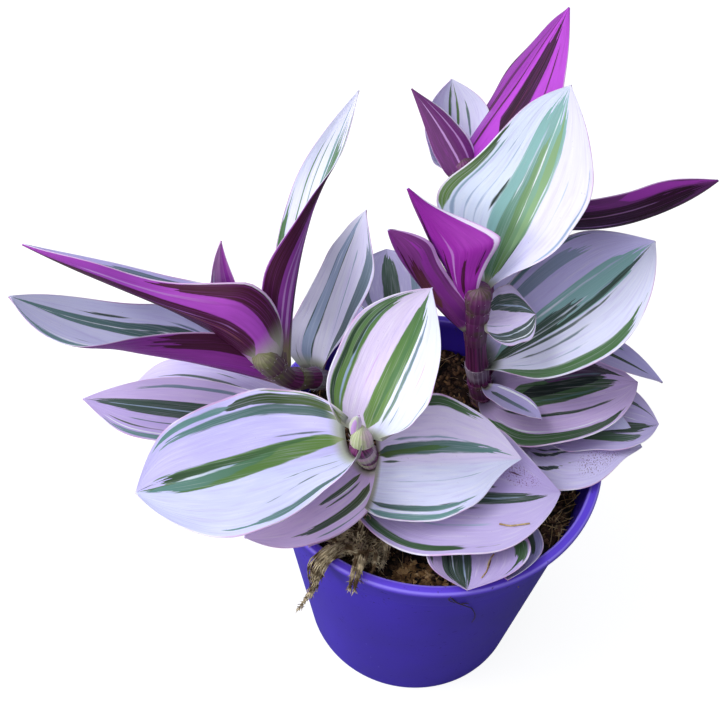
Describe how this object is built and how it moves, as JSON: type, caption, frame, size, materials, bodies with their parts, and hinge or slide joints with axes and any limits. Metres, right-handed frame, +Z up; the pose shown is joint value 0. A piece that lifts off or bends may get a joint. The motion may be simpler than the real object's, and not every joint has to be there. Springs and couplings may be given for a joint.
{
  "type": "potted trailing houseplant",
  "caption": "Leafy striped houseplant with upright and spreading shoots in a tapered round plastic nursery pot.",
  "frame": {"origin": "centre of the pot's base, on the surface the pot stands on", "axes": "+Z up along the pot's axis; -Y towards the side with the large low front leaf"},
  "size_m": [0.1918, 0.1592, 0.2024],
  "materials": {
    "violet_plastic": "satin",
    "potting_soil": "rough",
    "dry_roots": "rough",
    "stem": "satin",
    "leaf": "satin"
  },
  "bodies": {
    "root": {"pot": "violet_plastic", "soil": "potting_soil", "dry_roots": "dry_roots", "stem_left": "stem", "stem_front": "stem", "stem_tall": "stem", "stem_top": "stem", "stem_right": "stem", "stem_low_front": "stem", "stem_low_left": "stem", "stem_back": "stem", "leaf_left_2": "leaf", "leaf_left_3": "leaf", "leaf_left_1": "leaf", "leaf_left_4": "leaf", "leaf_left_5": "leaf", "leaf_left_6": "leaf", "leaf_left_7": "leaf", "leaf_front_1": "leaf", "leaf_front_2": "leaf", "leaf_front_3": "leaf", "leaf_front_4": "leaf", "leaf_front_5": "leaf", "leaf_front_6": "leaf", "leaf_front_7": "leaf", "leaf_front_8": "leaf", "leaf_front_bud": "leaf", "leaf_tall_1": "leaf", "leaf_tall_2": "leaf", "leaf_tall_3": "leaf", "leaf_tall_curl": "leaf", "leaf_tall_4": "leaf", "leaf_top_1": "leaf", "leaf_top_2": "leaf", "leaf_top_3": "leaf", "leaf_top_4": "leaf", "leaf_right_1": "leaf", "leaf_right_2": "leaf", "leaf_right_3": "leaf", "leaf_right_4": "leaf", "leaf_right_5": "leaf", "leaf_back_1": "leaf", "leaf_back_2": "leaf", "leaf_back_3": "leaf", "leaf_back_4": "leaf", "leaf_back_5": "leaf"}
  },
  "joints": []
}
